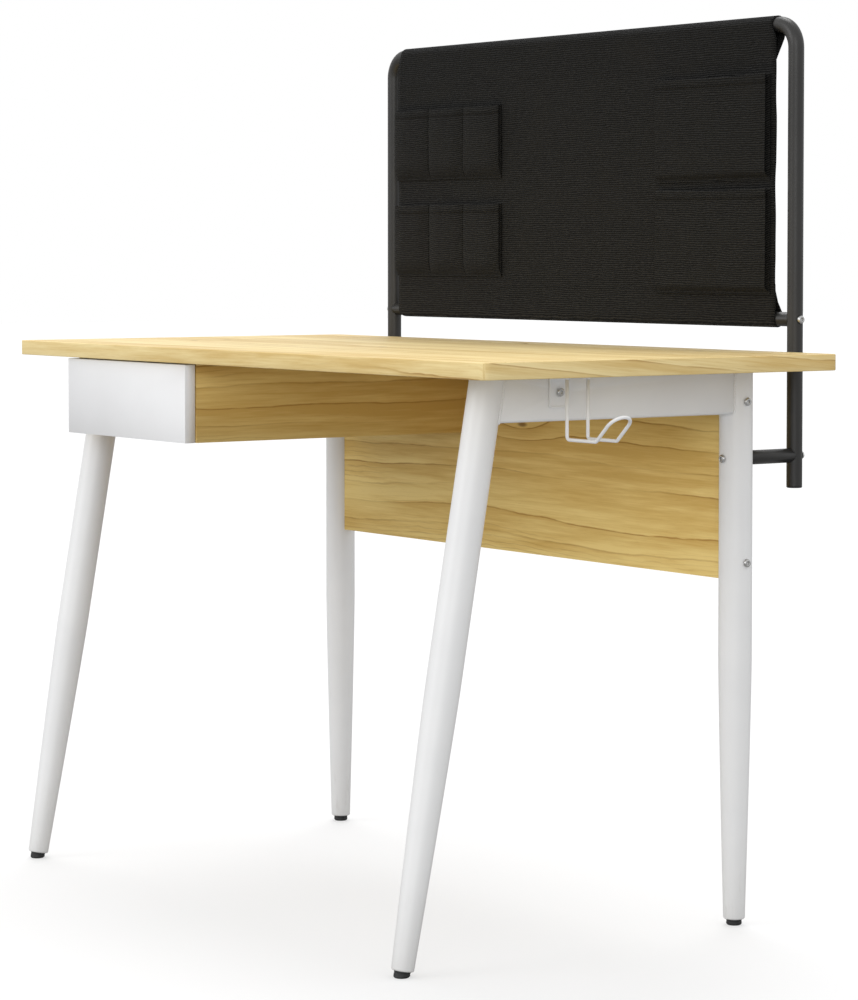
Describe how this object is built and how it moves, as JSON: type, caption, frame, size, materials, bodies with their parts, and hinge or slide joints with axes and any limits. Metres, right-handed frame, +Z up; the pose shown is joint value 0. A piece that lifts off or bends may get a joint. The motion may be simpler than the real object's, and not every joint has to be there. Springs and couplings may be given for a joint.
{
  "type": "study desk with pocket screen",
  "caption": "Study desk with splayed front legs, a shallow drawer, a modesty panel, a wire side hook and a raised fabric pocket screen behind the top.",
  "frame": {"origin": "on the floor, at the middle of the whole object in X and Y", "axes": "+X to the right of the seated user, +Y away from the user, +Z up"},
  "size_m": [1.1998, 0.6574, 1.194],
  "materials": {
    "pine_laminate": "satin pale pine print, fine lengthways grain",
    "white_laminate": "satin white laminate",
    "drawer_board": "matte pine print",
    "hardboard": "matte hardboard",
    "white_steel": "white powder coat",
    "black_steel": "charcoal powder coat",
    "zinc_steel": "zinc plated",
    "bolt_steel": "bright plated",
    "black_plastic": "matte black",
    "screen_fabric": "black ribbed canvas"
  },
  "bodies": {
    "root": {"front_leg_left": "white_steel", "back_leg_left": "white_steel", "side_rail_left": "white_steel", "foot_front_left": "black_plastic", "foot_back_left": "black_plastic", "top_screw_front_left": "bolt_steel", "top_screw_back_left": "bolt_steel", "front_leg_right": "white_steel", "back_leg_right": "white_steel", "side_rail_right": "white_steel", "foot_front_right": "black_plastic", "foot_back_right": "black_plastic", "top_screw_front_right": "bolt_steel", "top_screw_back_right": "bolt_steel", "table_top": "pine_laminate", "modesty_panel": "pine_laminate", "panel_bolt_upper_left": "bolt_steel", "panel_insert_upper_left": "bolt_steel", "panel_bolt_lower_left": "bolt_steel", "panel_insert_lower_left": "bolt_steel", "panel_bolt_upper_right": "bolt_steel", "panel_insert_upper_right": "bolt_steel", "panel_bolt_lower_right": "bolt_steel", "panel_insert_lower_right": "bolt_steel", "drawer_case_side_left": "pine_laminate", "drawer_case_side_right": "pine_laminate", "drawer_case_angle_left": "zinc_steel", "drawer_case_angle_right": "zinc_steel", "runner_case_left": "zinc_steel", "runner_case_right": "zinc_steel", "screen_frame": "black_steel", "screen_crossbar": "black_steel", "screen_arm_left": "black_steel", "arm_bolt_leg_left": "bolt_steel", "arm_bolt_post_left": "bolt_steel", "crossbar_bolt_left": "bolt_steel", "post_cap_left": "black_plastic", "screen_arm_right": "black_steel", "arm_bolt_leg_right": "bolt_steel", "arm_bolt_post_right": "bolt_steel", "crossbar_bolt_right": "bolt_steel", "post_cap_right": "black_plastic", "screen_fabric": "screen_fabric", "small_pockets_upper": "screen_fabric", "small_pockets_lower": "screen_fabric", "large_pocket_upper": "screen_fabric", "large_pocket_lower": "screen_fabric", "hook_bracket": "white_steel", "hook_wire": "white_steel", "hook_screw": "bolt_steel"},
    "drawer": {"drawer_front": "white_laminate", "drawer_side_left": "drawer_board", "drawer_side_right": "drawer_board", "drawer_back": "drawer_board", "drawer_bottom": "hardboard", "runner_drawer_left": "zinc_steel", "runner_drawer_right": "zinc_steel"},
    "runner_middle_left": {"runner_middle_left": "zinc_steel"},
    "runner_middle_right": {"runner_middle_right": "zinc_steel"}
  },
  "joints": [
    {"name": "drawer_slide", "type": "slide", "parent": "root", "child": "drawer", "axis": [0, -1, 0], "range_m": [0, 0.33]},
    {"name": "runner_slide_left", "type": "slide", "parent": "root", "child": "runner_middle_left", "axis": [0, -1, 0], "range_m": [0, 0.165]},
    {"name": "runner_slide_right", "type": "slide", "parent": "root", "child": "runner_middle_right", "axis": [0, -1, 0], "range_m": [0, 0.165]}
  ],
  "couplings": [
    {"joint": "runner_slide_left", "follows": "drawer_slide", "ratio": 0.5},
    {"joint": "runner_slide_right", "follows": "drawer_slide", "ratio": 0.5}
  ]
}
